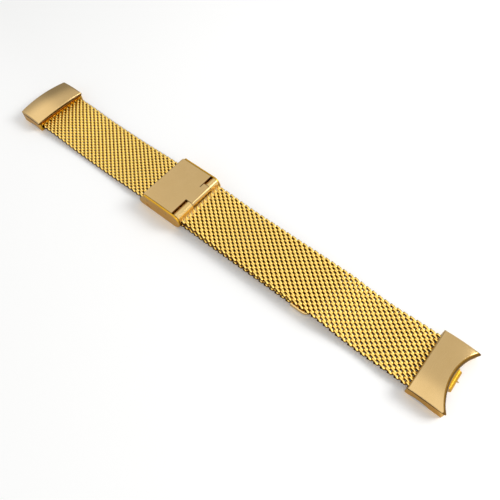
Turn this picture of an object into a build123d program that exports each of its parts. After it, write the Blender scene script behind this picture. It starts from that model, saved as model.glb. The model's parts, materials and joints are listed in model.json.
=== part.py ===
"""Woven mesh watch band with a sliding lever clasp and two curved end links, laid out flat.

X runs along the band from the far link to the near link, Y across it, Z up out of the table.
The origin is at the middle of the band's length and width, on the table. Millimetres throughout.
"""

import math
import os

from build123d import *

os.makedirs("parts", exist_ok=True)

# Visible lengths along the band
link_length = 11.7
far_visible = 57.4
clasp_length = 16.4
near_visible = 88.0
tail_reach = 54.2
band_length = 2 * link_length + far_visible + clasp_length + near_visible

# Woven mesh
mesh_width = 20.0
mesh_thickness = 1.5
mesh_edge_round = 0.4
knuckle_gap = 0.1
layer_gap = 0.2
floor_gap = 0.05
mesh_fit = 0.05
nose_radius = mesh_thickness / 2
socket_radius = nose_radius + knuckle_gap
coil_row_pitch = 1.95
row_groove_side = 0.45
row_groove_turn_degrees = 45.0

# Bend of each joint of the mesh when the band is curled round a wrist
curl_step_degrees = 12.0
curl_lean = math.tan(math.radians(curl_step_degrees / 2))

# Clasp frame
base_thickness = 0.6
base_clearance = 0.1
wall_thickness = 0.6
side_clearance = 0.15
clasp_height = 6.3
base_overhang = 1.5
wall_foot_overhang = 2.5
wall_foot_height = 1.7
wall_foot_toe = 0.7
wall_top_inset = 0.8
wall_end_reach = 0.8
wall_end_height = 3.9
wall_bottom_inset = 2.2
wall_shoulder_inset = 1.4
wall_edge_round = 0.25
mark_inset = 1.95
mark_height = 1.35
mark_length = 2.3
mark_width = 0.45
mark_depth = 0.15
mark_slant_degrees = -41.0
frame_inner_half = mesh_width / 2 + side_clearance
frame_outer_half = frame_inner_half + wall_thickness

# Clasp pins
hinge_pin_radius = 0.6
hinge_inset = 1.2
roll_radius = 1.6
cross_pin_radius = 0.45
catch_pin_inset = 1.95
guide_pin_inset = 11.0
cross_pin_height = 4.1
running_clearance = 0.05

# Lever cover
cover_thickness = 0.8
cover_side_clearance = 0.15
cover_edge_chamfer = 0.35
lip_thickness = 0.7
lip_drop = 3.1
catch_bead_reach = 0.65
catch_bead_height = 0.35
tongue_low = -2.75
tongue_high = 6.1
knuckle_side_gap = 0.2
notch_gap = 0.15
slit_width = 0.3
slit_length = 1.9
cam_radius = 2.35
cam_width = 1.4

# Fitting that joins the near strap to the hinge pin
knuckle_radius = 1.6
strip_length = 1.8
strip_thickness = 0.6
fitting_arm_thickness = 1.1
fitting_level_drop = 0.7

# Metal tip on the loose tail
tip_length = 7.2
tip_thickness = 2.0
tip_end_thickness = 1.1
tip_corner_radius = 3.0
tip_edge_round = 0.35
tip_mesh_depth = 1.5
tip_neck_thickness = 0.9
tip_end_clearance = 3.4
tip_hinge_lead = 1.1

# Curved end link
link_width = 21.8
link_side_height = 4.4
link_crown = 0.6
cap_wall = 0.8
cap_front_wall = 0.7
cap_fit = 0.05
groove_level = 3.1
groove_width = 0.2
case_radius = 18.1
link_middle_length = 8.4
bulge_radius = 65.0
bulge_corner_radius = 1.0
cap_overhang = 0.4
insert_side_inset = 0.1
link_mesh_level = 1.8
link_mesh_depth = 4.0
arch_start = 1.3
arch_length = 6.5
arch_height = 0.7
insert_edge_round = 0.3
cap_edge_round = 0.25

# Crowned top of a link: where its sections stand along it, and how its edge height changes there
link_section_shares = [0.0, 0.3, 0.65, 1.0]
link_height_shares = [1.0, 1.05, 1.02, 0.9]

# Lug gaps and centre knuckle of the link
lug_gap = 3.3
lug_gap_lead = 2.1
centre_half = 3.3
centre_radius = 1.3
bar_inset = 2.8
bar_level = 1.5
web_root = 1.6
web_height = 2.6
bar_setback = link_length - bar_inset
lug_gap_start = bar_setback - lug_gap_lead
web_start = link_middle_length - web_root

# Spring bar inside the centre knuckle
bar_radius = 0.9
bar_bore_radius = 0.65
bar_tip_radius = 0.4
bar_tip_length = 0.9
bar_bore_floor = 0.6
plunger_clearance = 0.05
plunger_inner_end = -0.6
plunger_travel = 1.0
knob_radius = 0.22
knob_place = 0.4
knob_proud = 0.45
knob_clearance = 0.1
slot_length = plunger_travel + 2 * (knob_radius + knob_clearance)
slot_width = 2 * (knob_radius + knob_clearance)
bar_floor = -centre_half + bar_bore_floor
spring_wire_radius = 0.08
spring_turns = 7

# Stiff runs that the mesh is divided into, from the clasp outwards, and how each strap's joints rise
far_first_run = 8.0
far_last_run = 8.2
far_runs = 7
far_rise_shares = [1.0, 0.5, 0.1, 0.0, 0.0]
far_link_shares = [0.05, 0.45, 1.0]
near_first_run = 6.1
near_last_run = 6.8
over_tail_runs = 7
beyond_runs = 4
near_rise_shares = [1.0, 0.235, 0.0, 0.0, 0.0, 0.0, 0.0, 0.0]
near_drop_shares = [0.926, 0.148, -0.333, -0.333, 0.0]

# Overrun of every cut past the face that it breaks through
overrun = 1.0

# Stations along X
half_length = band_length / 2
far_edge = -half_length + link_length
clasp_left = far_edge + far_visible
clasp_right = clasp_left + clasp_length
near_edge = half_length - link_length
tip_end = clasp_right + tail_reach
tip_start = tip_end - tip_length

# Heights of the strap's middle plane
passage_level = base_thickness + base_clearance + mesh_thickness / 2
upper_level = passage_level + mesh_thickness + layer_gap
floor_level = floor_gap + mesh_thickness / 2
passage_top = passage_level + mesh_thickness / 2

# Hinge pin of the cover and the near strap
pin_x = clasp_right - hinge_inset
pin_z = clasp_height - roll_radius
fitting_level = pin_z - fitting_level_drop
strip_left = pin_x + roll_radius + knuckle_side_gap
strip_half = mesh_width / 2 - mesh_edge_round

# Joints of the far strap, from the clasp outwards
far_pitch = (far_visible - far_first_run - far_last_run) / far_runs
far_levels = [floor_level + (passage_level - floor_level) * s for s in far_rise_shares]
far_levels += [floor_level + (link_mesh_level - floor_level) * s for s in far_link_shares]
far_joints = [
    (clasp_left - far_first_run - far_pitch * i, level) for i, level in enumerate(far_levels)
]

# Joints of the near strap, from the clasp outwards: over the tail, over its tip, then down to the link
over_tail_start = clasp_right + near_first_run
over_tip_start = tip_start + tip_hinge_lead
over_tip_end = tip_end + tip_end_clearance
over_tail_pitch = (over_tip_start - over_tail_start) / over_tail_runs
beyond_pitch = (near_edge - near_last_run - over_tip_end) / beyond_runs
near_levels = [upper_level + (fitting_level - upper_level) * s for s in near_rise_shares]
near_levels += [link_mesh_level + (upper_level - link_mesh_level) * s for s in near_drop_shares]
near_places = [over_tail_start + over_tail_pitch * i for i in range(over_tail_runs + 1)]
near_places += [over_tip_end + beyond_pitch * i for i in range(beyond_runs + 1)]
near_joints = list(zip(near_places, near_levels))


def tail_joint_line():
    """Joints of the tail: spaced so that the curled tail stays concentric inside the curled near strap."""
    rises = [level - passage_level for level in near_levels]
    place = near_places[0] - rises[0] * curl_lean
    joints = [(place, passage_level)]
    for i in range(over_tail_runs):
        place += over_tail_pitch - (rises[i] + rises[i + 1]) * curl_lean
        joints.append((place, passage_level))
    return joints


tail_joints = tail_joint_line()


def side_plane(y_high):
    """Upright plane along the band: sketches read X and Z, and extrusions run towards lower Y."""
    return Plane.XZ.offset(-y_high)


def row_grooves(start, end):
    """Grooves between the rows of coils, across the top and the bottom of a length of mesh."""
    along = Vector(end[0] - start[0], 0, end[1] - start[1])
    rows = round(along.length / coil_row_pitch)
    with BuildPart() as grooves:
        with BuildSketch(Plane(origin=(start[0], 0, start[1]), x_dir=along, z_dir=(0, -1, 0))):
            for row in range(1, rows):
                spot = along.length * row / rows
                with Locations((spot, nose_radius), (spot, -nose_radius)):
                    Rectangle(row_groove_side, row_groove_side, rotation=row_groove_turn_degrees)
        extrude(amount=mesh_width, both=True)
    return grooves.part


def mesh_run(start, end, hinged_start=True, hinged_end=True, neck=0, slot=0):
    """One stiff run of mesh between two joints, each given as a place along the band and a height.

    A hinged start is a round socket on the joint's axis, a hinged end is a round nose on the next
    joint's axis, so neighbours turn on each other as linked coils do. A neck is a thinner flat end,
    and a slot in the start takes the strip of the end fitting.
    """
    along = Vector(end[0] - start[0], 0, end[1] - start[1])
    length = along.length
    with BuildPart() as run:
        with BuildSketch(Plane(origin=(start[0], 0, start[1]), x_dir=along, z_dir=(0, -1, 0))):
            with Locations((length / 2, 0)):
                Rectangle(length, mesh_thickness)
            if hinged_end:
                with Locations((length, 0)):
                    Circle(nose_radius)
            if hinged_start:
                Circle(socket_radius, mode=Mode.SUBTRACT)
        extrude(amount=mesh_width / 2, both=True)
        fillet(run.edges().filter_by(Axis((0, 0, 0), along)), radius=mesh_edge_round)
        if length > 2 * coil_row_pitch:
            add(row_grooves(start, end), mode=Mode.SUBTRACT)
        if neck:
            with BuildSketch(Plane(origin=(end[0], 0, end[1]), x_dir=(0, 1, 0), z_dir=along)):
                Rectangle(mesh_width - 2 * mesh_edge_round, tip_neck_thickness)
            extrude(amount=neck)
        if slot:
            with BuildSketch(Plane(origin=(start[0], 0, start[1]), x_dir=(0, 1, 0), z_dir=along)):
                Rectangle(2 * (strip_half + mesh_fit), strip_thickness + 2 * mesh_fit)
            extrude(amount=slot, mode=Mode.SUBTRACT)
    return run.part


pieces = {}

# Strap that slides through the clasp: its straight middle, its far length and its loose tail
with BuildPart() as mesh_core:
    with BuildSketch(side_plane(mesh_width / 2)):
        with Locations(((far_joints[0][0] + tail_joints[0][0]) / 2, passage_level)):
            Rectangle(tail_joints[0][0] - far_joints[0][0], mesh_thickness)
        with Locations(far_joints[0], tail_joints[0]):
            Circle(nose_radius)
    extrude(amount=mesh_width)
    fillet(mesh_core.edges().filter_by(Axis.X), radius=mesh_edge_round)
    add(row_grooves(far_joints[0], tail_joints[0]), mode=Mode.SUBTRACT)
pieces["mesh_core"] = mesh_core.part

far_ends = far_joints[1:] + [(far_edge - link_mesh_depth, link_mesh_level)]
for i, (start, end) in enumerate(zip(far_joints, far_ends)):
    pieces[f"mesh_far_{i + 1:02d}"] = mesh_run(start, end, hinged_end=end is not far_ends[-1])

tail_ends = tail_joints[1:] + [(tip_start, passage_level)]
for i, (start, end) in enumerate(zip(tail_joints, tail_ends)):
    last = end is tail_ends[-1]
    neck = tip_mesh_depth if last else 0
    pieces[f"mesh_tail_{i + 1:02d}"] = mesh_run(start, end, hinged_end=not last, neck=neck)

# Near strap, from its fitting at the clasp to the near link
near_starts = [(strip_left, fitting_level)] + near_joints
near_ends = near_joints + [(near_edge + link_mesh_depth, link_mesh_level)]
for i, (start, end) in enumerate(zip(near_starts, near_ends)):
    first, last = i == 0, end is near_ends[-1]
    slot = strip_length + mesh_fit if first else 0
    pieces[f"mesh_near_{i + 1:02d}"] = mesh_run(
        start, end, hinged_start=not first, hinged_end=not last, slot=slot
    )

# Metal tip folded over the end of the tail, flush with the mesh on top
tip_top = passage_top
with BuildPart() as tail_tip:
    with BuildSketch(side_plane(mesh_width / 2)):
        with BuildLine():
            Polyline(
                (tip_start, tip_top),
                (tip_end, tip_top - (tip_thickness - tip_end_thickness) / 2),
                (tip_end, tip_top - (tip_thickness + tip_end_thickness) / 2),
                (tip_start, tip_top - tip_thickness),
                close=True,
            )
        make_face()
    extrude(amount=mesh_width)
    fillet(tail_tip.faces().sort_by(Axis.X)[-1].edges().filter_by(Axis.Z), radius=tip_corner_radius)
    fillet(tail_tip.faces().sort_by(Axis.X)[-1].edges().filter_by(Axis.Y), radius=tip_edge_round)
    with BuildSketch(Plane.YZ.offset(tip_start)):
        with Locations((0, passage_level)):
            Rectangle(
                mesh_width - 2 * mesh_edge_round + 2 * mesh_fit,
                tip_neck_thickness + 2 * mesh_fit,
            )
    extrude(amount=tip_mesh_depth + mesh_fit, mode=Mode.SUBTRACT)
pieces["tail_tip"] = tail_tip.part

# Clasp frame: base plate and two side walls, drilled for the hinge pin and two cross pins
catch_spot = (clasp_left + catch_pin_inset, cross_pin_height)
guide_spot = (clasp_left + guide_pin_inset, cross_pin_height)
with BuildPart() as clasp_frame:
    for wall_high in (frame_outer_half, -frame_inner_half):
        with BuildSketch(side_plane(wall_high)):
            with BuildLine():
                foot = (clasp_left - base_overhang, 0)
                heel = (clasp_right - wall_bottom_inset, 0)
                shoulder = (clasp_right - wall_shoulder_inset, clasp_height)
                toe = (clasp_left - wall_foot_overhang, wall_foot_toe)
                instep = (clasp_left - wall_foot_overhang, wall_foot_height)
                Line(foot, heel)
                ThreePointArc(heel, (clasp_right + wall_end_reach, wall_end_height), shoulder)
                Polyline(shoulder, (clasp_left + wall_top_inset, clasp_height), instep, toe, foot)
            make_face()
        extrude(amount=wall_thickness)
    with BuildSketch():
        with Locations(((foot[0] + heel[0]) / 2, 0)):
            Rectangle(heel[0] - foot[0], 2 * frame_outer_half)
    extrude(amount=base_thickness)
    across = clasp_frame.faces().sort_by(Axis.Y)
    fillet(across[0].edges() + across[-1].edges(), radius=wall_edge_round)
    for mark_high in (frame_outer_half + overrun, -frame_outer_half + mark_depth):
        with BuildSketch(side_plane(mark_high)):
            with Locations((clasp_left + mark_inset, mark_height)):
                SlotOverall(mark_length, mark_width, rotation=mark_slant_degrees)
        extrude(amount=overrun + mark_depth, mode=Mode.SUBTRACT)
    with BuildSketch(side_plane(frame_outer_half)):
        with Locations((pin_x, pin_z)):
            Circle(hinge_pin_radius)
        with Locations(catch_spot, guide_spot):
            Circle(cross_pin_radius)
    extrude(amount=2 * frame_outer_half, mode=Mode.SUBTRACT)
pieces["clasp_frame"] = clasp_frame.part

with BuildPart() as hinge_pin:
    with BuildSketch(side_plane(frame_outer_half)):
        with Locations((pin_x, pin_z)):
            Circle(hinge_pin_radius)
    extrude(amount=2 * frame_outer_half)
pieces["hinge_pin"] = hinge_pin.part

for pin_name, spot in (("catch_pin", catch_spot), ("guide_pin", guide_spot)):
    with BuildPart() as cross_pin:
        with BuildSketch(side_plane(frame_outer_half)):
            with Locations(spot):
                Circle(cross_pin_radius)
        extrude(amount=2 * frame_outer_half)
    pieces[pin_name] = cross_pin.part

# Lever cover: plate and front lip, then the tongue rolled round the pin with the cam under it
cover_half = frame_inner_half - cover_side_clearance
notch_back = pin_x - knuckle_radius - notch_gap
lip_right = clasp_left + lip_thickness
lip_bottom = clasp_height - lip_drop
plate_bottom = clasp_height - cover_thickness
with BuildPart() as clasp_cover:
    with BuildSketch(side_plane(cover_half)):
        with BuildLine():
            Polyline(
                (clasp_left, clasp_height - cover_edge_chamfer),
                (clasp_left + cover_edge_chamfer, clasp_height),
                (notch_back, clasp_height),
                (notch_back, plate_bottom),
                (lip_right, plate_bottom),
                (lip_right, lip_bottom + catch_bead_height),
                (lip_right + catch_bead_reach, lip_bottom + catch_bead_height),
                (lip_right + catch_bead_reach, lip_bottom),
                (clasp_left, lip_bottom),
                close=True,
            )
        make_face()
    extrude(amount=2 * cover_half)
    with BuildSketch(side_plane(tongue_high)):
        with Locations(((notch_back + pin_x) / 2 - notch_gap, clasp_height - cover_thickness / 2)):
            Rectangle(pin_x - notch_back + 2 * notch_gap, cover_thickness)
        with Locations((pin_x, pin_z)):
            Circle(roll_radius)
        with BuildSketch(side_plane(tongue_high), mode=Mode.PRIVATE) as cam_side:
            with Locations((pin_x, pin_z)):
                Circle(cam_radius)
            with Locations((pin_x, pin_z - cam_radius / 2)):
                Rectangle(cam_width, cam_radius, mode=Mode.INTERSECT)
        add(cam_side.sketch)
        with Locations((pin_x, pin_z)):
            Circle(hinge_pin_radius + running_clearance, mode=Mode.SUBTRACT)
    extrude(amount=tongue_high - tongue_low)
    with BuildSketch(Plane.XY.offset(plate_bottom - overrun)):
        with Locations((notch_back, tongue_high - slit_length)):
            Rectangle(slit_width, slit_length + overrun, align=(Align.MIN, Align.MIN))
    extrude(amount=cover_thickness + 2 * overrun, mode=Mode.SUBTRACT)
pieces["clasp_cover"] = clasp_cover.part

# Fitting at the end of the near strap: two knuckles on the hinge pin and a strip inside the mesh
with BuildPart() as end_fitting:
    with BuildSketch(side_plane(strip_half)):
        with Locations((strip_left + strip_length / 2, fitting_level)):
            Rectangle(strip_length, strip_thickness)
    extrude(amount=2 * strip_half)
    for arm_high, arm_low in (
        (mesh_width / 2, tongue_high + knuckle_side_gap),
        (tongue_low - knuckle_side_gap, -mesh_width / 2),
    ):
        with BuildSketch(side_plane(arm_high)):
            with Locations((pin_x, pin_z)):
                Circle(knuckle_radius)
            with Locations(((pin_x + strip_left) / 2, fitting_level)):
                Rectangle(strip_left - pin_x, fitting_arm_thickness)
            with Locations((pin_x, pin_z)):
                Circle(hinge_pin_radius + running_clearance, mode=Mode.SUBTRACT)
        extrude(amount=arm_high - arm_low)
pieces["end_fitting"] = end_fitting.part


def link_across(seat, u):
    """Plane across a link at the distance u from the mesh: sketches read Y and Z of the link."""
    origin = seat.from_local_coords(Vector(u, 0, 0))
    return Plane(origin=origin, x_dir=seat.y_dir, z_dir=seat.x_dir)


def link_side(seat, y_high):
    """Upright plane along a link: sketches read the distance from the mesh and Z."""
    origin = seat.from_local_coords(Vector(0, y_high, 0))
    return Plane(origin=origin, x_dir=seat.x_dir, z_dir=-seat.y_dir)


def crowned_section(seat, u, half_width, side_height, bottom):
    """One cross-section of a link: flat bottom, upright sides and a top that crowns in the middle."""
    with BuildSketch(link_across(seat, u)) as section:
        with BuildLine():
            right, left = (half_width, side_height), (-half_width, side_height)
            Polyline(left, (-half_width, bottom), (half_width, bottom), right)
            ThreePointArc(right, (0, side_height + link_crown), left)
        make_face()
    return section.sketch


def link_plan(seat, hollow_end, inset):
    """Plan of a link. A hollow end follows a round watch case, the other kind bulges out a little."""
    with BuildSketch(seat.offset(-overrun)) as plan:
        with Locations((link_length / 2, 0)):
            Rectangle(link_length, link_width)
        if hollow_end:
            with Locations((link_middle_length + case_radius, 0)):
                Circle(case_radius + inset, mode=Mode.SUBTRACT)
        else:
            with Locations((link_length - bulge_radius, 0)):
                Circle(bulge_radius - inset, mode=Mode.INTERSECT)
            outer_corners = plan.vertices().sort_by(Axis(seat.origin, seat.x_dir))[-2:]
            fillet(outer_corners, radius=bulge_corner_radius)
    return plan.sketch


def link_cap(seat, hollow_end):
    """Outer shell of a link: crowned top with short skirts, hollow below and open at its outer end."""
    half = link_width / 2
    with BuildPart() as cap:
        for place_share, height_share in zip(link_section_shares, link_height_shares):
            add(
                crowned_section(
                    seat,
                    link_length * place_share,
                    half,
                    link_side_height * height_share,
                    groove_level + groove_width,
                )
            )
        loft()
        for place_share, height_share in zip(link_section_shares, link_height_shares):
            add(
                crowned_section(
                    seat,
                    max(link_length * place_share, cap_front_wall),
                    half - cap_wall,
                    link_side_height * height_share - cap_wall,
                    groove_level - overrun,
                )
            )
        loft(mode=Mode.SUBTRACT)
        add(link_plan(seat, hollow_end, inset=0))
        extrude(amount=2 * link_side_height + overrun, mode=Mode.INTERSECT)
        fillet(cap.faces().sort_by(Axis.Z)[-1].edges(), radius=cap_edge_round)
    return cap.part


def link_insert(seat, hollow_end):
    """Body under the cap: mesh slot, lug gaps, centre knuckle with its bore and release slot."""
    half = link_width / 2 - insert_side_inset
    with BuildPart() as insert:
        with BuildSketch(seat):
            with Locations((link_length / 2, 0)):
                Rectangle(link_length, 2 * half)
        extrude(amount=groove_level)
        mesh_side = insert.faces().sort_by(Axis(seat.origin, seat.x_dir))[0]
        fillet(mesh_side.edges().sort_by(Axis.Z)[:-1], radius=insert_edge_round)
        for place_share, height_share in zip(link_section_shares, link_height_shares):
            add(
                crowned_section(
                    seat,
                    max(link_length * place_share, cap_front_wall + cap_fit),
                    link_width / 2 - cap_wall - cap_fit,
                    link_side_height * height_share - cap_wall - cap_fit,
                    groove_level - cap_fit,
                )
            )
        loft()
        add(link_plan(seat, hollow_end, inset=cap_overhang))
        extrude(amount=2 * link_side_height + overrun, mode=Mode.INTERSECT)
        with BuildSketch(link_across(seat, -overrun)):
            with Locations((0, link_mesh_level)):
                Rectangle(mesh_width + 2 * mesh_fit, mesh_thickness + 2 * mesh_fit)
        extrude(amount=overrun + link_mesh_depth + mesh_fit, mode=Mode.SUBTRACT)
        with BuildSketch(seat):
            for side in (1, -1):
                middle = lug_gap_start + link_length / 2
                with Locations((middle, side * (centre_half + lug_gap / 2))):
                    Rectangle(link_length, lug_gap)
        extrude(amount=groove_level, mode=Mode.SUBTRACT)
        with BuildSketch(link_side(seat, half)):
            with BuildLine():
                arch_end = arch_start + arch_length
                Line((arch_end, 0), (arch_start, 0))
                ThreePointArc(
                    (arch_start, 0), (arch_start + arch_length / 2, arch_height), (arch_end, 0)
                )
            make_face()
        extrude(amount=2 * half, mode=Mode.SUBTRACT)
        with BuildSketch(link_side(seat, centre_half)):
            with Locations(((web_start + bar_setback) / 2, bar_level)):
                Rectangle(bar_setback - web_start, web_height)
            with Locations((bar_setback, bar_level)):
                Circle(centre_radius)
        extrude(amount=2 * centre_half)
        with BuildSketch(link_side(seat, centre_half)):
            with Locations((bar_setback, bar_level)):
                Circle(bar_radius + running_clearance)
        extrude(amount=2 * centre_half, mode=Mode.SUBTRACT)
        with BuildSketch(link_across(seat, bar_setback)):
            with Locations((knob_place - plunger_travel / 2, bar_level)):
                Rectangle(slot_length, slot_width)
        extrude(amount=centre_radius + overrun, mode=Mode.SUBTRACT)
    return insert.part


def bar_tube(seat):
    """Tube of the spring bar with its fixed tip, its blind bore and the slot for the knob."""
    with BuildPart() as tube:
        with BuildSketch(link_side(seat, centre_half)):
            with Locations((bar_setback, bar_level)):
                Circle(bar_radius)
        extrude(amount=2 * centre_half)
        with BuildSketch(link_side(seat, -centre_half)):
            with Locations((bar_setback, bar_level)):
                Circle(bar_tip_radius)
        extrude(amount=bar_tip_length)
        with BuildSketch(link_side(seat, centre_half)):
            with Locations((bar_setback, bar_level)):
                Circle(bar_bore_radius)
        extrude(amount=centre_half - bar_floor, mode=Mode.SUBTRACT)
        with BuildSketch(link_across(seat, bar_setback)):
            with Locations((knob_place - plunger_travel / 2, bar_level)):
                Rectangle(slot_length, slot_width)
        extrude(amount=bar_radius + overrun, mode=Mode.SUBTRACT)
    return tube.part


def bar_plunger(seat):
    """Sprung end of the spring bar: stem, tip that stands out into the lug gap, and release knob."""
    with BuildPart() as plunger:
        with BuildSketch(link_side(seat, centre_half)):
            with Locations((bar_setback, bar_level)):
                Circle(bar_bore_radius - plunger_clearance)
        extrude(amount=centre_half - plunger_inner_end)
        with BuildSketch(link_side(seat, centre_half + bar_tip_length)):
            with Locations((bar_setback, bar_level)):
                Circle(bar_tip_radius)
        extrude(amount=bar_tip_length)
        with BuildSketch(link_across(seat, bar_setback)):
            with Locations((knob_place, bar_level)):
                Circle(knob_radius)
        extrude(amount=centre_radius + knob_proud)
    return plunger.part


def bar_spring(seat):
    """Coil spring between the floor of the tube's bore and the inner end of the plunger."""
    coil_radius = bar_bore_radius - plunger_clearance - spring_wire_radius
    length = plunger_inner_end - bar_floor - 2 * spring_wire_radius
    foot = seat.from_local_coords(Vector(bar_setback, bar_floor + spring_wire_radius, bar_level))
    with BuildPart() as spring:
        with BuildLine() as coil:
            Helix(
                pitch=length / spring_turns,
                height=length,
                radius=coil_radius,
                center=foot,
                direction=seat.y_dir,
            )
        with BuildSketch(Plane(origin=coil.line @ 0, z_dir=coil.line % 0)):
            Circle(spring_wire_radius)
        sweep()
    return spring.part


seats = {
    "far": Plane(origin=(far_edge, 0, 0), x_dir=(-1, 0, 0), z_dir=(0, 0, 1)),
    "near": Plane(origin=(near_edge, 0, 0), x_dir=(1, 0, 0), z_dir=(0, 0, 1)),
}
for side, seat in seats.items():
    hollow_end = side == "near"
    pieces[f"{side}_link_cap"] = link_cap(seat, hollow_end)
    pieces[f"{side}_link_insert"] = link_insert(seat, hollow_end)
    pieces[f"{side}_bar_tube"] = bar_tube(seat)
    pieces[f"{side}_bar_plunger"] = bar_plunger(seat)
    pieces[f"{side}_bar_spring"] = bar_spring(seat)

for label, piece in pieces.items():
    piece.label = label
    export_step(piece, f"parts/{label}.step")
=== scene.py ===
"""Looks of a woven gold watch band: real interlinked wire coils, satin end links and a lever clasp.

Metres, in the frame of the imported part: X along the band, Y across it, Z up from the table.
"""

import json
import logging
import math
from dataclasses import dataclass, field
from enum import Enum

import bpy
import numpy as np
from mathutils import Matrix, Vector

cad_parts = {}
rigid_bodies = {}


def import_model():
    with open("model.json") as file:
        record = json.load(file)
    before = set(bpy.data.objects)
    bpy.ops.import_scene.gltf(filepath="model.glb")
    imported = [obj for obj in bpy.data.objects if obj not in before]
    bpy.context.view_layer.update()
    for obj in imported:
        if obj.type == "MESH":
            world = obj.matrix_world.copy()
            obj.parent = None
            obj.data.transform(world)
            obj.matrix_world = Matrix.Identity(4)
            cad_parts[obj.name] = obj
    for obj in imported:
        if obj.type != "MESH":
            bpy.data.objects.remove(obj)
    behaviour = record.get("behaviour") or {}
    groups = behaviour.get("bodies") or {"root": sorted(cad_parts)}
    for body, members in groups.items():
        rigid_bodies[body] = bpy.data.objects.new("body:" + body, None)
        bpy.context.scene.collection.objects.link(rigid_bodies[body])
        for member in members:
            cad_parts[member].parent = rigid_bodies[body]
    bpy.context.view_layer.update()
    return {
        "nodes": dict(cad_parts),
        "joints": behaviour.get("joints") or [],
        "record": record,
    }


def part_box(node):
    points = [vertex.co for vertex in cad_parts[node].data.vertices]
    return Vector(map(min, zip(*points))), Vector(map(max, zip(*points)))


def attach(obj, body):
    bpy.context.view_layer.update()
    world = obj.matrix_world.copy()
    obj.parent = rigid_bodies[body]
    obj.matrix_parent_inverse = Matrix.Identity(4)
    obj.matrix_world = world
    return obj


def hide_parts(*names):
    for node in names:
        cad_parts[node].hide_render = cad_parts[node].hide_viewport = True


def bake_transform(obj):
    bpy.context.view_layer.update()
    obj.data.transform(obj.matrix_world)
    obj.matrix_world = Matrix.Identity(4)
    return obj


logging.basicConfig(level=logging.INFO, format="%(message)s")
log = logging.getLogger("band")

MM = 0.001

# Attribute of the woven pieces that holds painted light: 0, painted shade, on the inner side of the wires, 1,
# painted highlight, on the crests of the coils
PAINTED_LIGHT = "crest"

# Distance from coil to coil along each strap, as the photograph's rows give it
SLIDING_SPACING = 1.075 * MM
UPPER_SPACING = 1.115 * MM

# How far the tail's mesh runs into the folded tip
INSIDE_TIP = 0.8 * MM


# Meshes from arrays


def outward(points: np.ndarray, loops: list[np.ndarray]) -> list[np.ndarray]:
    """Turns every face over if the closed shell that they form has a negative volume.

    The volume is the sum, over fans of triangles, of a corner dotted with the cross of the next two.

    Args:
        points: Corners, one row each.
        loops: Faces, one array for each number of corners.

    Returns:
        The faces, all pointing outwards.
    """
    volume = 0.0
    for faces in loops:
        first = points[faces[:, 0]]
        for k in range(1, faces.shape[1] - 1):
            cross = np.cross(points[faces[:, k]], points[faces[:, k + 1]])
            volume += float(np.einsum("ij,ij->", first, cross))
    return loops if volume >= 0 else [faces[:, ::-1] for faces in loops]


def mesh_piece(name: str, points: np.ndarray, loops: list[np.ndarray]) -> bpy.types.Object:
    """Makes a smooth-shaded object at the origin from arrays of corners and faces, and reports it.

    Args:
        name: Name of the piece.
        points: Corners in metres, one row each.
        loops: Faces, one array for each number of corners.

    Returns:
        The new object, linked to the scene.
    """
    loops = outward(points, [np.asarray(f, np.int32) for f in loops if len(f)])
    corners = np.concatenate([f.ravel() for f in loops])
    sizes = np.concatenate([np.full(len(f), f.shape[1], np.int32) for f in loops])
    starts = np.concatenate([[0], np.cumsum(sizes)[:-1]]).astype(np.int32)
    mesh = bpy.data.meshes.new(name)
    mesh.vertices.add(len(points))
    mesh.vertices.foreach_set("co", np.asarray(points, np.float32).ravel())
    mesh.loops.add(len(corners))
    mesh.loops.foreach_set("vertex_index", corners)
    mesh.polygons.add(len(sizes))
    mesh.polygons.foreach_set("loop_start", starts)
    mesh.polygons.foreach_set("use_smooth", np.full(len(sizes), True))
    mesh.update(calc_edges=True)
    mesh.validate()
    obj = bpy.data.objects.new(name, mesh)
    bpy.context.scene.collection.objects.link(obj)
    log.info("%s: %d faces", name, len(sizes))
    return obj


def grid_faces(rows: int, columns: int, wrap: bool = False) -> np.ndarray:
    """Quads of a grid whose corners are numbered row by row.

    Args:
        rows: Number of rows of corners.
        columns: Number of corners in a row.
        wrap: Whether the last column joins the first.

    Returns:
        One row of four corner numbers for each quad.
    """
    index = np.arange(rows * columns).reshape(rows, columns)
    if wrap:
        index = np.concatenate([index, index[:, :1]], axis=1)
    quads = [index[:-1, :-1], index[:-1, 1:], index[1:, 1:], index[1:, :-1]]
    return np.stack(quads, axis=-1).reshape(-1, 4)


def fillet_drop(distance: np.ndarray, radius: float) -> np.ndarray:
    """How far a surface falls at a distance from its rounded edge: a quarter circle of that radius."""
    inside = np.clip(radius - distance, 0.0, radius)
    return radius - np.sqrt(np.maximum(radius**2 - inside**2, 0.0))


# Finishes


class Brushing(Enum):
    """Direction of the fine brushing lines on a surface, as how far each axis stretches the noise."""

    NONE = (1.0, 1.0, 1.0)
    ACROSS = (1.0, 0.02, 1.0)


@dataclass(frozen=True)
class GoldFinish:
    """Gold plate on stainless steel: its colour, its gloss and how its surface was worked.

    The colour and the gloss vary by two noises: the grain of the working, and broad patches of wear.
    """

    name: str
    colour: str
    shade: str
    roughness: float
    variation: float = 0.05
    grain_mm: float = 0.12
    bump_mm: float = 0.0
    brushing: Brushing = Brushing.NONE
    anisotropy: float = 0.0
    patch_mm: float = 6.0
    grain_share: float = 0.6
    patch_share: float = 0.5


@dataclass(frozen=True)
class WireFinish:
    """Gold plated wire: its colours, from painted shade in the hollow of the weave out to a painted highlight
    on its crests, and its gloss.
    """

    name: str
    colours: tuple[tuple[float, str], ...]
    roughness: float


# Drawn wire, flash plated, coloured with painted light: a painted highlight on the crests, painted shade in
# brown deep in the weave
WIRE_GOLD = WireFinish(
    "drawn_gold_wire",
    ((0.0, "#2E1600"), (0.64, "#4A2602"), (0.78, "#AE7814"), (0.90, "#E0B038"), (0.99, "#FFDC7C")),
    0.25,
)
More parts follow.
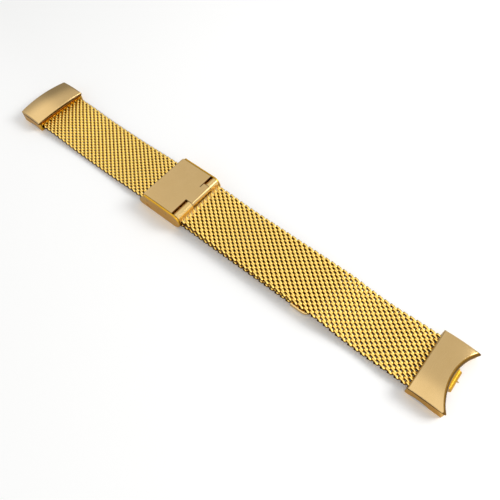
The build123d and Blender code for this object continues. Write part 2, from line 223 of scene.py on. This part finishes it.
# Caps and cover: gold plated steel with fine brushing across it, a soft cream sheen with no clear image
SATIN_GOLD = GoldFinish(
    "satin_brushed_gold", "#D3B47F", "#C4A36A", 0.16, 0.03, 0.10, 0.0006, Brushing.ACROSS, 0.35
)
# Side walls and link sides: gold plated steel, tumbled, which leaves it yellower and duller than the caps
TUMBLED_GOLD = GoldFinish("tumbled_gold_plate", "#E0AC3A", "#BE8E24", 0.24, 0.05, 0.35, 0.001)
# Rolled knuckles and tip: gold plated steel, polished on a wheel, so they mirror the lamps; the colour is
# brighter than the cover's as a painted highlight on the rolls
POLISHED_GOLD_AND_SHEEN = GoldFinish("polished_gold_plate", "#EBCB8C", "#D6B26C", 0.16, 0.04, 0.3)
# Pins and spring bars: stainless steel, turned, with a thin gold flash that lets some grey through
PIN_STEEL = GoldFinish("turned_pin_steel", "#C6A45C", "#A88644", 0.28, 0.04, 0.1)
# Cut edge and rolled lip of the caps' sheet: painted shade, a dark and rough gold where the lip rolls away
# and on the sheet's edge
EDGE_PAINTED_SHADE = GoldFinish("sheared_gold_edge", "#7A5A24", "#5E4218", 0.35, 0.05, 0.1)
# Springs of the bars: drawn music wire, bare and grey
SPRING_STEEL = GoldFinish("spring_wire", "#B9B9B6", "#9C9C98", 0.3, 0.03, 0.1)


def linear(colour: str) -> tuple[float, float, float, float]:
    """Turns an sRGB hex colour into linear red, green, blue and full alpha."""
    levels = [int(colour[i : i + 2], 16) / 255 for i in (1, 3, 5)]
    values = [c / 12.92 if c <= 0.04045 else ((c + 0.055) / 1.055) ** 2.4 for c in levels]
    return (*values, 1.0)


def add_node(
    tree: bpy.types.NodeTree, kind: str, settings: dict | None = None, inputs: dict | None = None
) -> bpy.types.Node:
    """Adds one shader node.

    Args:
        tree: Node tree that it joins.
        kind: Blender's type name of the node.
        settings: Values of the node's own properties.
        inputs: For each input's name or number, an output to link or a plain value to set.

    Returns:
        The new node.
    """
    node = tree.nodes.new(kind)
    for key, value in (settings or {}).items():
        setattr(node, key, value)
    for key, value in (inputs or {}).items():
        if isinstance(value, bpy.types.NodeSocket):
            tree.links.new(value, node.inputs[key])
        else:
            node.inputs[key].default_value = value
    return node


def blank_material(name: str) -> bpy.types.Material:
    """Makes a material whose node tree is empty."""
    material = bpy.data.materials.new(name)
    material.use_nodes = True
    material.node_tree.nodes.clear()
    return material


def gold_material(finish: GoldFinish) -> bpy.types.Material:
    """Builds the metal shader of a finish, with its grain worked out from a size in millimetres.

    Args:
        finish: The finish.

    Returns:
        The material.
    """
    material = blank_material(finish.name)
    tree = material.node_tree
    place = add_node(tree, "ShaderNodeTexCoord")
    stretch = add_node(
        tree, "ShaderNodeMapping", None, {"Vector": place.outputs["Object"], "Scale": finish.brushing.value}
    )
    grain = add_node(
        tree,
        "ShaderNodeTexNoise",
        None,
        {
            "Vector": stretch.outputs["Vector"],
            "Scale": 1 / (finish.grain_mm * MM),
            "Detail": 3.0,
            "Roughness": 0.6,
        },
    )
    patches = add_node(
        tree,
        "ShaderNodeTexNoise",
        None,
        {"Vector": place.outputs["Object"], "Scale": 1 / (finish.patch_mm * MM), "Detail": 2.0},
    )
    scaled = add_node(
        tree,
        "ShaderNodeMath",
        {"operation": "MULTIPLY"},
        {0: grain.outputs["Fac"], 1: finish.grain_share},
    )
    mixed = add_node(
        tree,
        "ShaderNodeMath",
        {"operation": "MULTIPLY_ADD", "use_clamp": True},
        {0: patches.outputs["Fac"], 1: finish.patch_share, 2: scaled.outputs[0]},
    )
    colour = add_node(tree, "ShaderNodeMix", {"data_type": "RGBA"}, {"Factor": mixed.outputs[0]})
    colour.inputs[6].default_value = linear(finish.shade)
    colour.inputs[7].default_value = linear(finish.colour)
    gloss = add_node(
        tree,
        "ShaderNodeMapRange",
        None,
        {
            "Value": mixed.outputs[0],
            "To Min": finish.roughness + finish.variation,
            "To Max": finish.roughness - finish.variation,
        },
    )
    shader = add_node(
        tree,
        "ShaderNodeBsdfPrincipled",
        None,
        {
            "Base Color": colour.outputs[2],
            "Metallic": 1.0,
            "Roughness": gloss.outputs["Result"],
            "Anisotropic": finish.anisotropy,
        },
    )
    if finish.bump_mm:
        bump = add_node(
            tree,
            "ShaderNodeBump",
            None,
            {"Height": grain.outputs["Fac"], "Distance": finish.bump_mm * MM, "Strength": 1.0},
        )
        tree.links.new(bump.outputs["Normal"], shader.inputs["Normal"])
    end = add_node(tree, "ShaderNodeOutputMaterial")
    tree.links.new(shader.outputs["BSDF"], end.inputs["Surface"])
    return material


def wire_material(finish: WireFinish) -> bpy.types.Material:
    """Builds the shader of the woven wire, coloured with painted light and shade by how far out on its coil
    the surface faces.

    Args:
        finish: The wire's finish.

    Returns:
        The material.
    """
    material = blank_material(finish.name)
    tree = material.node_tree
    crest = add_node(tree, "ShaderNodeAttribute", {"attribute_name": PAINTED_LIGHT})
    # The ramp turns the painted light attribute into painted shade and painted highlight
    ramp = add_node(tree, "ShaderNodeValToRGB", None, {"Fac": crest.outputs["Fac"]})
    stops = ramp.color_ramp.elements
    for place, _ in finish.colours[2:]:
        stops.new(place)
    for stop, (place, colour) in zip(stops, finish.colours):
        stop.position = place
        stop.color = linear(colour)
    shader = add_node(
        tree,
        "ShaderNodeBsdfPrincipled",
        None,
        {"Base Color": ramp.outputs["Color"], "Metallic": 1.0, "Roughness": finish.roughness},
    )
    end = add_node(tree, "ShaderNodeOutputMaterial")
    tree.links.new(shader.outputs["BSDF"], end.inputs["Surface"])
    return material


class Palette:
    """The band's materials, each made once."""

    def __init__(self) -> None:
        """Starts with no material."""
        self.made: dict[str, bpy.types.Material] = {}

    def material(self, finish: GoldFinish | WireFinish) -> bpy.types.Material:
        """Gives the material of a finish, made when it is first asked for."""
        if finish.name not in self.made:
            make = wire_material if isinstance(finish, WireFinish) else gold_material
            self.made[finish.name] = make(finish)
        return self.made[finish.name]

    def dress(self, obj: bpy.types.Object, finish: GoldFinish | WireFinish) -> None:
        """Gives a piece a finish.

        Args:
            obj: The piece or CAD node.
            finish: Its finish.
        """
        obj.data.materials.clear()
        obj.data.materials.append(self.material(finish))

    def edge(self, obj: bpy.types.Object, finish: GoldFinish, faces: np.ndarray) -> None:
        """Gives some faces of a dressed piece a second finish.

        Args:
            obj: The piece.
            finish: The second finish.
            faces: For each face, whether it has the second finish.
        """
        obj.data.materials.append(self.material(finish))
        obj.data.polygons.foreach_set("material_index", faces.astype(np.int32))


# Woven mesh


class Ribbon:
    """The middle line of a strap: a smoothed path through its joints, measured along its length."""

    def __init__(self, stations: list[tuple[float, float]], inset: float, softness: float = 3.0 * MM) -> None:
        """Smooths a broken line in X and Z by a moving average.

        Args:
            stations: Points in rising X.
            inset: How far inside both ends the wires are kept, where the cut coils are pressed together.
            softness: Width of the moving average, in metres.
        """
        self.low, self.high = stations[0][0] + inset, stations[-1][0] - inset
        step = 0.1 * MM
        xs, zs = np.array(stations).T
        x = np.arange(xs[0], xs[-1] + step, step)
        z = np.interp(x, xs, zs)
        reach = max(int(softness / step / 2), 1)
        kernel = np.ones(2 * reach + 1) / (2 * reach + 1)
        for _ in range(2):
            z = np.convolve(np.pad(z, reach, mode="edge"), kernel, mode="valid")
        self.x, self.z = x, z
        self.slope = np.arctan2(np.gradient(z), np.gradient(x))

    def place(self, along: np.ndarray, across: np.ndarray, up: np.ndarray, at: np.ndarray) -> np.ndarray:
        """Carries points from a flat strap onto the path.

        A point keeps its X within the strap's ends and turns by the path's slope there.

        Args:
            along: Distances from each coil's middle.
            across: Y values.
            up: Heights over the middle line.
            at: X of each coil's middle.

        Returns:
            Points in the last axis.
        """
        x = np.clip(at + along, self.low, self.high)
        slope = np.interp(x, self.x, self.slope)
        height = np.interp(x, self.x, self.z)
        return np.stack([x - up * np.sin(slope), across + 0 * x, height + up * np.cos(slope)], axis=-1)


@dataclass
class Weave:
    """Sizes of the woven mesh: flattened wire coils that lie across the band, each linked into the next.

    The cut ends of a coil taper to a share of the wire, over another share of it. The painted highlight and
    the painted shade change the wire's colour round its bends, as the docstring of build says.
    """

    wire: float = 0.73 * MM
    half_turns: int = 21
    reach: float = 1.06 * MM
    thickness: float = 1.5 * MM
    width: float = 20.0 * MM
    fullness: float = 2.0
    lean: float = 0.05
    # Painted light round the bends: how much painted highlight and painted shade, and how sharp the shade is
    bend_painted_highlight: float = 1.6
    bend_painted_shade: float = 2.7
    shade_power: int = 8
    end_taper: float = 0.6
    end_length: float = 0.2
    steps: int = 8
    sides: int = 8

    def coil(self) -> tuple[np.ndarray, np.ndarray, np.ndarray]:
        """Centre line of one coil: a flattened helix whose cross-section is a superellipse.

        With t as the angle of turn, X is the reach times cosine t and Z the half height times sine t, each
        raised to 2 over the fullness with its sign kept. Y advances with t, less the lean times half of the
        sine of 2t, so the wire leans more where it crosses the top and the bottom than in its bends.

        Returns:
            Along, across and up, one value for each point.
        """
        turn = np.arange(self.steps * self.half_turns + 1) / self.steps * math.pi
        cosine, sine = np.cos(turn), np.sin(turn)
        power = 2 / self.fullness
        along = self.reach * np.sign(cosine) * np.abs(cosine) ** power
        up = (self.thickness - self.wire) / 2 * np.sign(sine) * np.abs(sine) ** power
        rise = (self.width - self.wire) / (self.half_turns * math.pi)
        across = rise * (turn - self.lean * np.sin(2 * turn) / 2) - (self.width - self.wire) / 2
        return along, across, up

    def build(self, name: str, ribbon: Ribbon, places: np.ndarray, numbers: np.ndarray) -> bpy.types.Object:
        """Builds the coils at the given places as one piece of round wire.

        The wire's skin is the centre line plus the wire's radius times a circle, held by the coil's outward
        normal and the cross of the wire's direction with it. Every other coil is turned half round its axis,
        which hooks it through its neighbours. The wire's colours are painted light: an attribute keeps half
        of
        1 plus the cosine round the wire, times 1 plus the painted highlight times the square of the point's
        share of the reach, less the painted shade times a high power of that share. So the shoulders of the
        bends, which bridge the crests, get a painted highlight too, and the deepest part of each bend painted
        shade.

        Args:
            name: Name of the piece.
            ribbon: Path of the strap.
            places: X of each coil.
            numbers: Running number of each coil, which tells how it is turned.

        Returns:
            The piece.
        """
        along, across, up = self.coil()
        turn = np.where(numbers % 2 == 0, 1.0, -1.0)[:, None]
        at = places[:, None]
        line = ribbon.place(turn * along, across[None, :], turn * up, at)
        tangent = np.gradient(line, axis=1)
        tangent /= np.linalg.norm(tangent, axis=-1, keepdims=True)
        out = np.stack([tangent[..., 2], 0 * tangent[..., 1], -tangent[..., 0]], axis=-1)
        out /= np.linalg.norm(out, axis=-1, keepdims=True)
        side = np.cross(tangent, out)
        radius = np.full(line.shape[1] + 2, self.wire / 2)
        radius[[0, -1]] *= self.end_taper
        first = line[:, :1] - self.end_length * self.wire * tangent[:, :1]
        last = line[:, -1:] + self.end_length * self.wire * tangent[:, -1:]
        line = np.concatenate([first, line, last], axis=1)
        out = np.concatenate([out[:, :1], out, out[:, -1:]], axis=1)
        side = np.concatenate([side[:, :1], side, side[:, -1:]], axis=1)
        around = np.arange(self.sides) * 2 * math.pi / self.sides
        ring = np.cos(around)[:, None] * out[:, :, None, :] + np.sin(around)[:, None] * side[:, :, None, :]
        skin = line[:, :, None, :] + radius[:, None, None] * ring
        coils, rings = skin.shape[:2]
        per_coil = rings * self.sides
        quads = grid_faces(rings, self.sides, wrap=True)
        start_cap = np.arange(self.sides)[None, ::-1]
        end_cap = np.arange(per_coil - self.sides, per_coil)[None, :]
        base = np.arange(coils)[:, None, None] * per_coil
        caps = np.concatenate([start_cap, end_cap])
        quads = (quads[None] + base).reshape(-1, 4)
        caps = (caps[None] + base).reshape(-1, self.sides)
        points = skin.reshape(-1, 3)
        piece = mesh_piece(name, points, [quads, caps])
        # Painted light: bright on the outside of the wire and on the bends' shoulders, painted shade inside
        # and deep in the bends
        shares = np.pad(along / self.reach, 1, mode="edge")
        bend = 1 + self.bend_painted_highlight * shares**2 - self.bend_painted_shade * shares**self.shade_power
        level = (0.5 + 0.5 * np.cos(around)) * bend[:, None]
        crest = piece.data.attributes.new(PAINTED_LIGHT, "FLOAT", "POINT")
        crest.data.foreach_set("value", np.tile(level.ravel(), coils).astype(np.float32))
        return piece


@dataclass
class Bend:
    """One joint of the mesh: its X and Z, the two bodies that it joins, and the CAD node on the child."""

    name: str
    parent: str
    child: str
    place: tuple[float, float]
    node: str


@dataclass
class Strap:
    """One length of woven mesh, cut into pieces that bend over its joints and stiff pieces between them.

    A bend reaches up to its reach to both sides, and a stiff run is left out where it is very short. The
    core names the body and the CAD node of the stiff run that replaces a node of its own.
    """

    title: str
    bends: list[Bend]
    start: tuple[float, float]
    end: tuple[float, float]
    start_body: str
    spacing: float
    core: tuple[str, str] | None = None
    weave: Weave = field(default_factory=Weave)
    reach: float = 3.0 * MM
    shortest: float = 0.3 * MM

    def build(self, palette: Palette) -> list[bpy.types.Object]:
        """Builds and dresses every piece of the strap, and hangs each stiff piece on its body.

        Each bend's piece runs from half a run before its joint to half a run after it. What is left between
        two such pieces is stiff and rides on the body there.

        Args:
            palette: The materials.

        Returns:
            The pieces.
        """
        stations = [self.start] + [bend.place for bend in self.bends] + [self.end]
        ribbon = Ribbon(stations, self.weave.wire / 2)
        count = int((self.end[0] - self.start[0] - self.weave.wire) / self.spacing)
        middle = (self.start[0] + self.end[0]) / 2
        numbers = np.arange(count + 1)
        places = middle + (numbers - count / 2) * self.spacing
        xs = [p[0] for p in stations]
        pieces = []
        edge, body = self.start[0], self.start_body
        for i, bend in enumerate(self.bends):
            before = min(self.reach, (xs[i + 1] - xs[i]) / 2) if i else self.reach
            last = i == len(self.bends) - 1
            after = self.reach if last else min(self.reach, (xs[i + 2] - xs[i + 1]) / 2)
            low, high = bend.place[0] - before, bend.place[0] + after
            other = bend.child if bend.parent == body else bend.parent
            if low - edge > self.shortest:
                pieces.append(self.stiff(ribbon, places, numbers, edge, low, body, len(pieces)))
            chosen = (places >= low) & (places < high)
            name = f"{self.title}_bend_{bend.name}"
            piece = self.weave.build(name, ribbon, places[chosen], numbers[chosen])
            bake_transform(piece)
            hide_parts(bend.node)
            pieces.append(piece)
            edge, body = high, other
        if self.end[0] - edge > self.shortest:
            pieces.append(self.stiff(ribbon, places, numbers, edge, math.inf, body, len(pieces)))
        for piece in pieces:
            palette.dress(piece, WIRE_GOLD)
        log.info("%s: %d coils in %d pieces", self.title, len(places), len(pieces))
        return pieces

    def stiff(
        self,
        ribbon: Ribbon,
        places: np.ndarray,
        numbers: np.ndarray,
        low: float,
        high: float,
        body: str,
        number: int,
    ) -> bpy.types.Object:
        """Builds the coils between two bends and hangs them on one body.

        Args:
            ribbon: Path of the strap.
            places: X of every coil.
            numbers: Running number of every coil.
            low: Where the piece starts.
            high: Where the piece ends.
            body: The body that it rides on.
            number: Number for the piece's name.

        Returns:
            The piece.
        """
        chosen = (places >= low) & (places < high)
        name = f"{self.title}_stiff_{number:02d}"
        piece = self.weave.build(name, ribbon, places[chosen], numbers[chosen])
        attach(piece, body)
        if self.core and body == self.core[0]:
            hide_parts(self.core[1])
        return piece


# Clasp


@dataclass
class CoverRoll:
    """Rolled front edge of the lever cover: a slim round bead across its lip, with domed ends."""

    radius: float = 0.44 * MM
    inset: float = 0.40 * MM
    drop: float = 0.41 * MM
    side_gap: float = 0.05 * MM
    dome_point: float = 0.05
    dome_steps: int = 12
    sides: int = 24

    def build(self, palette: Palette) -> bpy.types.Object:
        """Builds the bead on the cover.

        It is a stadium of revolution: each ring's radius is the bead's, and at both ends the root of its
        square less the square of the distance past the straight part, down to a small share of the bead.

        Args:
            palette: The materials.

        Returns:
            The bead.
        """
        low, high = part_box("clasp_cover")
        half = high.y - self.side_gap
        across = eased(np.array([2 * half]), self.radius, self.dome_steps, 2)[0] - half
        past = np.maximum(np.abs(across) - (half - self.radius), 0)
        around = np.arange(self.sides) * 2 * math.pi / self.sides
        least = self.dome_point * self.radius
        ring = np.sqrt(np.maximum(self.radius**2 - past**2, least**2))[:, None]
        points = np.stack(
            [
                low.x + self.inset + ring * np.cos(around),
                across[:, None] + 0 * ring * around,
                high.z - self.drop + ring * np.sin(around),
            ],
            axis=-1,
        ).reshape(-1, 3)
        caps = np.stack([np.arange(self.sides)[::-1], np.arange(len(points) - self.sides, len(points))])
        piece = mesh_piece("cover_roll", points, [grid_faces(len(across), self.sides, wrap=True), caps])
        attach(piece, "cover")
        palette.dress(piece, SATIN_GOLD)
        return piece


# End links


def eased(length: np.ndarray, radius: float, around: int, between: int) -> np.ndarray:
    """Places along a length, close together over the rounding at both of its ends.

    Over a rounding they are the radius less its cosine at even angles, and they are even in between.

    Args:
        length: One or more lengths.
        radius: Radius of the rounding.
        around: Steps over each rounding.
        between: Steps between the roundings.

    Returns:
        Distances from the start, in the last axis.
    """
    lead = radius * (1 - np.cos(np.arange(around + 1) * math.pi / 2 / around))
    share = np.concatenate([0 * lead, np.arange(1, between) / between, 0 * lead + 1])
    offset = np.concatenate([lead, np.full(between - 1, radius), 2 * radius - lead[::-1]])
    return offset + share * (np.asarray(length)[..., None] - 2 * radius)


@dataclass
class LinkCap:
    """Pressed cap of an end link: crowned across, swept along, rounded all round its top edge.

    The sign is 1 where the cap runs from the mesh towards positive X. A hollow cap ends in the round of the
    watch case, and the other one bulges out.
    """

    side: str
    sign: float
    hollow: bool
    case_radius: float = 18.1 * MM
    bulge_radius: float = 65.0 * MM
    middle_length: float = 8.4 * MM
    side_height: float = 4.4 * MM
    crown: float = 0.6 * MM
    sweep: tuple[float, ...] = (1.0, 1.05, 1.02, 0.9)
    sweep_places: tuple[float, ...] = (0.0, 0.3, 0.65, 1.0)
    skirt_bottom: float = 3.55 * MM
    edge_round: float = 0.45 * MM
    corner_round: float = 0.6 * MM
    least_skirt: float = 0.05 * MM
    lip_round: float = 1.0 * MM
    lip_shade: float = 1.05 * MM
    edge_steps: int = 4
    across_steps: int = 40
    lip_steps: int = 8
    along_steps: int = 22

    def reach(self, across: np.ndarray, half: float, length: float) -> np.ndarray:
        """Length of the cap at each place across it: a hollow arc, or an arc that bulges out."""
        if self.hollow:
            end = self.middle_length + self.case_radius - np.sqrt(self.case_radius**2 - across**2)
        else:
            end = length - self.bulge_radius + np.sqrt(self.bulge_radius**2 - across**2)
        return end - fillet_drop(half - np.abs(across), self.corner_round)

    def build(self, palette: Palette) -> bpy.types.Object:
        """Builds the cap over its CAD node.

        The top is the side height times a cubic through the sweep's shares along the link, plus the crown
        times 1 less the square of the place across, less the rounding at the nearest edge. The underside
        is flat on the groove, and one ring of faces joins the two. A hollow end rolls over more roundly.
        The ring, and the outer part of that roll, get painted shade in a darker metal.

        Args:
            palette: The materials.

        Returns:
            The cap.
        """
        low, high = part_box(f"{self.side}_link_cap")
        start = low.x if self.sign > 0 else high.x
        length, half = high.x - low.x, (high.y - low.y) / 2
        across = eased(2 * half, self.edge_round, self.edge_steps, self.across_steps) - half
        ends = self.reach(across, half, length)
        along = eased(ends, self.lip_round, self.lip_steps, self.along_steps)
        cubic = np.polyfit(self.sweep_places, self.sweep, 3)
        left = ends[:, None] - along
        edge = np.minimum(np.minimum(along, left), half - np.abs(across)[:, None])
        top = self.side_height * np.polyval(cubic, along / length)
        top = top + self.crown * (1 - (across[:, None] / half) ** 2)
        drop = fillet_drop(edge, self.edge_round)
        top = top - (np.maximum(drop, fillet_drop(left, self.lip_round)) if self.hollow else drop)
        top = np.maximum(top, self.skirt_bottom + self.least_skirt)
        flat = np.stack([start + self.sign * along, across[:, None] + 0 * along], axis=-1)
        levels = (top, 0 * top + self.skirt_bottom)
        points = np.concatenate([np.dstack([flat, level]).reshape(-1, 3) for level in levels])
        rows, columns = along.shape
        upper = grid_faces(rows, columns)
        index = np.arange(rows * columns).reshape(rows, columns)
        rim = np.concatenate([index[0, :-1], index[:-1, -1], index[-1, :0:-1], index[:0:-1, 0]])
        after = np.roll(rim, -1)
        below = rows * columns
        wall = np.stack([rim + below, after + below, after, rim], axis=-1)
        faces = np.concatenate([upper[:, ::-1], upper + below, wall])
        piece = mesh_piece(f"{self.side}_cap", points, [faces])
        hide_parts(f"{self.side}_link_cap")
        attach(piece, f"{self.side}_link")
        palette.dress(piece, SATIN_GOLD)
        # Painted shade on the outer part of a hollow end's roll, above and below, and on the whole ring of
        # faces
        lip_painted_shade = (self.hollow & (left < self.lip_shade)).ravel()[upper].all(axis=1)
        palette.edge(piece, EDGE_PAINTED_SHADE, np.concatenate([lip_painted_shade, lip_painted_shade, np.ones(len(wall), bool)]))
        return piece


def bends_of(frame: dict, stems: tuple[str, ...]) -> list[Bend]:
    """Finds the mesh hinges whose names start with one of the stems.

    Args:
        stems: Starts of joint names.

    Returns:
        The bends, each with the mesh node on its child body.
    """
    found = []
    groups = frame["record"]["behaviour"]["bodies"]
    for joint in frame["joints"]:
        if joint["name"].startswith(stems) and joint["type"] == "hinge":
            node = next(n for n in groups[joint["child"]] if n.startswith("mesh_"))
            x, _, z = joint["pos_m"]
            found.append(Bend(node.removeprefix("mesh_"), joint["parent"], joint["child"], (x, z), node))
    return found


# Studio


@dataclass(frozen=True)
class Lamp:
    """A square soft box: where it stands, its side in metres, its watts, and whether metal mirrors it."""

    name: str
    place: tuple[float, float, float]
    size: float
    power: float
    mirrored: bool

    def build(self, target: Vector) -> None:
        """Adds the lamp, turned to face a point."""
        data = bpy.data.lights.new(self.name, "AREA")
        data.shape, data.size, data.energy = "SQUARE", self.size, self.power
        obj = bpy.data.objects.new(self.name, data)
        bpy.context.scene.collection.objects.link(obj)
        turn = (target - Vector(self.place)).to_track_quat("-Z", "Y").to_matrix().to_4x4()
        obj.matrix_world = Matrix.Translation(self.place) @ turn
        obj.visible_glossy = self.mirrored


@dataclass(frozen=True)
class Haze:
    """A soft step in the strength of the world that metal mirrors, along one axis of the direction."""

    axis: str
    start: float
    end: float
    before: float
    after: float


@dataclass(frozen=True)
class TableFinish:
    """Finish of the table under the band."""

    name: str
    colour: str
    roughness: float
    specular: float


# Cast acrylic sheet, polished: near white, with a faint mirror image of what stands on it
WHITE_ACRYLIC = TableFinish("white_acrylic_sheet", "#FBFBFA", 0.12, 0.4)


@dataclass
class Studio:
    """Pale floor, soft lamps and the camera that took the picture.

    The floor light is the world's strength on matt surfaces. The floor lift is the glow that only the
    camera sees, which brings the table up to white. The three steps of haze shape what metal mirrors.
    """

    azimuth: float = 40.296
    elevation: float = 59.5
    roll: float = -1.441
    distance: float = 161.283 * MM
    target: tuple[float, float, float] = (17.298 * MM, -1.915 * MM, 0.0)
    focal_pixels: float = 481.647
    picture: int = 500
    sensor: float = 36.0
    clip: tuple[float, float] = (0.005, 10.0)
    floor_light: float = 0.58
    floor_lift: float = 0.10
    low: Haze = Haze("Z", 0.40, 0.66, 0.45, 1.0)
    right: Haze = Haze("X", -0.5, -0.1, 0.0, 1.0)
    front: Haze = Haze("Y", 0.25, 0.33, 1.4, 0.93)
    lamps: tuple[Lamp, ...] = (
        Lamp("key_soft_box", (0.42, 0.42, 0.45), 0.36, 2.6, False),
        Lamp("sparkle_soft_box", (0.47, 0.42, 0.42), 0.24, 1.1, True),
    )

    def camera(self) -> None:
        """Places the camera on a sphere round the target, turned by its roll."""
        a, e, r = (math.radians(v) for v in (self.azimuth, self.elevation, self.roll))
        back = Vector((math.sin(a) * math.cos(e), -math.cos(a) * math.cos(e), math.sin(e)))
        right = Vector((0, 0, 1)).cross(back).normalized()
        top = back.cross(right)
        x = right * math.cos(r) + top * math.sin(r)
        y = top * math.cos(r) - right * math.sin(r)
        data = bpy.data.cameras.new("camera")
        data.sensor_width = self.sensor
        data.lens = self.focal_pixels / self.picture * self.sensor
        data.clip_start, data.clip_end = self.clip
        cam = bpy.data.objects.new("camera", data)
        bpy.context.scene.collection.objects.link(cam)
        place = Matrix.Translation(Vector(self.target) + back * self.distance)
        cam.matrix_world = place @ Matrix((x, y, back)).transposed().to_4x4()
        bpy.context.scene.camera = cam

    def world(self) -> None:
        """White for the camera, dimmer where it lights the floor, and a soft box overhead for the metal.

        The metal sees the world dim low down at the far link's end, and a little brighter on the camera's
        side of the band than behind it, as under a large soft box that hangs in front and to the right.
        """
        world = bpy.data.worlds.new("studio")
        bpy.context.scene.world = world
        world.use_nodes = True
        tree = world.node_tree
        tree.nodes.clear()
        ray = add_node(tree, "ShaderNodeLightPath")
        seen = add_node(
            tree,
            "ShaderNodeMath",
            {"operation": "MAXIMUM"},
            {0: ray.outputs["Is Camera Ray"], 1: ray.outputs["Is Transmission Ray"]},
        )
        plain = add_node(
            tree,
            "ShaderNodeMapRange",
            None,
            {"Value": seen.outputs[0], "To Min": self.floor_light, "To Max": 1.0},
        )
        way = add_node(tree, "ShaderNodeTexCoord")
        axes = add_node(tree, "ShaderNodeSeparateXYZ", None, {"Vector": way.outputs["Generated"]})
        low, right, front = (
            add_node(
                tree,
                "ShaderNodeMapRange",
                {"interpolation_type": "SMOOTHSTEP"},
                {
                    "Value": axes.outputs[haze.axis],
                    "From Min": haze.start,
                    "From Max": haze.end,
                    "To Min": haze.before,
                    "To Max": haze.after,
                },
            ).outputs["Result"]
            for haze in (self.low, self.right, self.front)
        )
        high = add_node(tree, "ShaderNodeMath", {"operation": "MAXIMUM"}, {0: low, 1: right})
        box = add_node(tree, "ShaderNodeMath", {"operation": "MULTIPLY"}, {0: high.outputs[0], 1: front})
        strength = add_node(
            tree,
            "ShaderNodeMix",
            {"data_type": "FLOAT"},
            {0: ray.outputs["Is Glossy Ray"], 2: plain.outputs["Result"], 3: box.outputs[0]},
        )
        light = add_node(
            tree,
            "ShaderNodeBackground",
            None,
            {"Color": (1.0, 1.0, 1.0, 1.0), "Strength": strength.outputs[0]},
        )
        end = add_node(tree, "ShaderNodeOutputWorld")
        tree.links.new(light.outputs["Background"], end.inputs["Surface"])

    def floor(self, extent: float = 0.6) -> None:
        """Lays a pale, slightly glossy table under the band, lifted to white for the camera alone.

        Args:
            extent: Half of its side, in metres.
        """
        corners = np.array([[-1, -1, 0], [1, -1, 0], [1, 1, 0], [-1, 1, 0]], float) * extent
        mesh = bpy.data.meshes.new("table_top")
        mesh.from_pydata(corners.tolist(), [], [(0, 1, 2, 3)])
        obj = bpy.data.objects.new("table_top", mesh)
        bpy.context.scene.collection.objects.link(obj)
        material = blank_material(WHITE_ACRYLIC.name)
        tree = material.node_tree
        ray = add_node(tree, "ShaderNodeLightPath")
        lift = add_node(
            tree,
            "ShaderNodeMath",
            {"operation": "MULTIPLY"},
            {0: ray.outputs["Is Camera Ray"], 1: self.floor_lift},
        )
        shader = add_node(
            tree,
            "ShaderNodeBsdfPrincipled",
            None,
            {
                "Base Color": linear(WHITE_ACRYLIC.colour),
                "Roughness": WHITE_ACRYLIC.roughness,
                "Specular IOR Level": WHITE_ACRYLIC.specular,
                "Emission Color": (1.0, 1.0, 1.0, 1.0),
                "Emission Strength": lift.outputs[0],
            },
        )
        end = add_node(tree, "ShaderNodeOutputMaterial")
        tree.links.new(shader.outputs["BSDF"], end.inputs["Surface"])
        mesh.materials.append(material)

    def build(self) -> None:
        """Builds the camera, the world, the floor and the lamps."""
        self.camera()
        self.world()
        self.floor()
        for lamp in self.lamps:
            lamp.build(Vector(self.target))
        bpy.context.scene.view_settings.view_transform = "Standard"


def dress_nodes(frame: dict, palette: Palette) -> None:
    """Gives every CAD node that stays its finish, by the record's material slots.

    Args:
        palette: The materials.
    """
    finishes = {
        "brushed_cap": SATIN_GOLD,
        "brushed_cover": SATIN_GOLD,
        "link_body": TUMBLED_GOLD,
        "clasp_sides": TUMBLED_GOLD,
        "polished_knuckle": POLISHED_GOLD_AND_SHEEN,
        "polished_tip": POLISHED_GOLD_AND_SHEEN,
        "pin_steel": PIN_STEEL,
        "spring_steel": SPRING_STEEL,
        "woven_mesh": WIRE_GOLD,
    }
    for part in frame["record"]["subparts"]:
        palette.dress(frame["nodes"][part["node"]], finishes[part["material_slot"]])


def sliding_strap(frame: dict) -> Strap:
    """Describes the strap from the far link through the clasp, with the loose tail that ends in the tip.


    Returns:
        The strap.
    """
    bends = sorted(bends_of(frame, ("far_curl", "tail_curl")), key=lambda bend: bend.place[0])
    start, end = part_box("mesh_far_08")[0].x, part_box("tail_tip")[0].x + INSIDE_TIP
    return Strap(
        "sliding_mesh",
        bends,
        (start, bends[0].place[1]),
        (end, bends[-1].place[1]),
        bends[0].child,
        SLIDING_SPACING,
        ("core", "mesh_core"),
    )


def upper_strap(frame: dict) -> Strap:
    """Describes the strap from the clasp's hinge to the near link.


    Returns:
        The strap.
    """
    bends = sorted(bends_of(frame, ("near_curl",)), key=lambda bend: bend.place[0])
    start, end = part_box("mesh_near_01")[0].x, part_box("mesh_near_14")[1].x
    return Strap(
        "upper_mesh",
        bends,
        (start, bends[0].place[1]),
        (end, bends[-1].place[1]),
        "fitting",
        UPPER_SPACING,
        ("fitting", "mesh_near_01"),
    )


def main() -> None:
    """Builds the band's pieces in order."""
    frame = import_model()
    Studio().build()
    palette = Palette()
    dress_nodes(frame, palette)
    sliding_strap(frame).build(palette)
    upper_strap(frame).build(palette)
    CoverRoll().build(palette)
    LinkCap("far", -1.0, False).build(palette)
    LinkCap("near", 1.0, True).build(palette)


if __name__ == "__main__":
    main()
